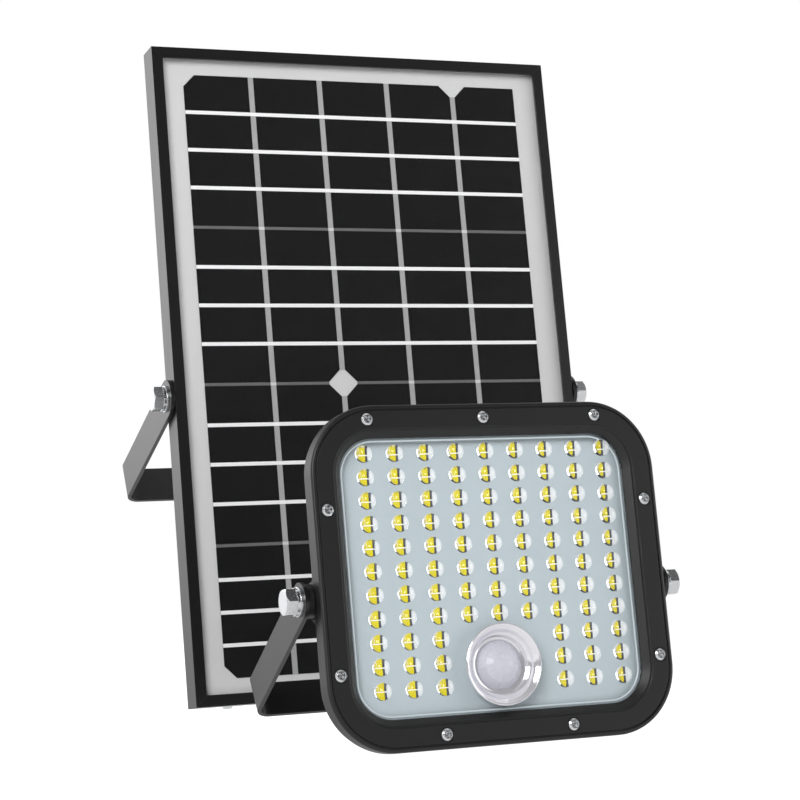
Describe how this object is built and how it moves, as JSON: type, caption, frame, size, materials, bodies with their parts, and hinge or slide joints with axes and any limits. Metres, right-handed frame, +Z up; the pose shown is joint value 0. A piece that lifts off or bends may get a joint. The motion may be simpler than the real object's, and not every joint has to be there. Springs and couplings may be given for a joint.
{
  "type": "solar flood light",
  "caption": "Framed solar panel and flood lamp with domed LED lenses and a motion sensor, each on its own tilting U bracket.",
  "frame": {"origin": "centre hole of the panel bracket's crossbar, on the face that meets the wall", "axes": "+X to the right along both tilt axes, +Y backwards towards the wall, -Y the way the lamp and panel face, +Z up"},
  "size_m": [0.256, 0.2911, 0.3514],
  "materials": {
    "black_anodised": "black anodised extrusion, satin",
    "black_powder_coat": "black powder coat on steel strap, satin",
    "zinc_plated_steel": "bright zinc plate",
    "clear_glass": "clear tempered glass",
    "clear_film": "clear laminating film",
    "silicon": "dark silicon cell",
    "tinned_ribbon": "tinned copper ribbon",
    "white_sheet": "white backsheet film",
    "grey_rubber": "soft sealing compound",
    "black_plastic": "moulded ABS, fine satin texture",
    "clear_cover": "clear moulded polycarbonate",
    "white_board": "white solder mask on an aluminium board",
    "led_case": "white moulded LED package",
    "yellow_phosphor": "yellow phosphor",
    "clear_collar": "clear moulded collar",
    "milky_lens": "translucent polyethylene sensor lens",
    "green_board": "glass fibre circuit board",
    "black_parts": "epoxy cased electronic parts",
    "white_nylon": "natural nylon",
    "brass": "turned brass",
    "cell_sleeve": "blue shrink sleeve on a round cell",
    "red_wire": "insulated wire"
  },
  "bodies": {
    "brackets": {"panel_bracket": "black_powder_coat", "lamp_bracket": "black_powder_coat"},
    "panel": {"panel_side_rails": "black_anodised", "panel_end_rails": "black_anodised", "frame_corner_keys": "zinc_plated_steel", "frame_corner_screws": "zinc_plated_steel", "panel_glass": "clear_glass", "laminate_encapsulant": "clear_film", "cell_ribbons": "tinned_ribbon", "solar_cells": "silicon", "panel_backsheet": "white_sheet", "laminate_edge_seal": "grey_rubber", "junction_box": "black_plastic", "junction_box_lid": "black_plastic", "junction_lid_seal": "grey_rubber", "junction_lid_screws": "zinc_plated_steel", "diode_board": "green_board", "bypass_diodes": "black_parts", "junction_gland": "black_plastic", "junction_gland_nut": "black_plastic", "panel_pivot_blocks": "zinc_plated_steel", "panel_pivot_bolts": "zinc_plated_steel", "panel_spring_washers": "zinc_plated_steel", "panel_flat_washers": "zinc_plated_steel", "panel_friction_washers": "white_nylon"},
    "lamp": {"lamp_bezel": "black_plastic", "bezel_screws": "zinc_plated_steel", "cover_gasket": "grey_rubber", "lens_cover": "clear_cover", "led_board": "white_board", "led_packages": "led_case", "led_phosphors": "yellow_phosphor", "sensor_collar": "clear_collar", "sensor_dome": "milky_lens", "sensor_element": "zinc_plated_steel", "sensor_board": "green_board", "sensor_standoffs": "white_nylon", "rear_housing": "black_plastic", "lamp_pivot_inserts": "brass", "battery_cells": "cell_sleeve", "battery_cradle": "white_nylon", "battery_clamp": "white_nylon", "battery_tabs": "tinned_ribbon", "battery_leads": "red_wire", "control_board": "green_board", "control_components": "black_parts", "control_standoffs": "white_nylon", "charging_gland": "black_plastic", "charging_gland_nut": "black_plastic", "switch_body": "black_plastic", "switch_nut": "zinc_plated_steel", "lamp_pivot_bolts": "zinc_plated_steel", "lamp_spring_washers": "zinc_plated_steel", "lamp_flat_washers": "zinc_plated_steel", "lamp_friction_washers": "white_nylon"},
    "switch": {"switch_button": "grey_rubber"}
  },
  "joints": [
    {"name": "panel_tilt", "type": "hinge", "parent": "brackets", "child": "panel", "pos_m": [0, -0.08612, 0.05277], "axis": [1, 0, 0], "range_deg": [-20, 57]},
    {"name": "lamp_tilt", "type": "hinge", "parent": "brackets", "child": "lamp", "pos_m": [-0.012, -0.25572, -0.03553], "axis": [1, 0, 0], "range_deg": [-60, 75]},
    {"name": "switch_press", "type": "slide", "parent": "lamp", "child": "switch", "axis": [0, -0.9763, 0.2164], "range_m": [0, 0.0015], "stiffness_N_per_m": 400}
  ]
}
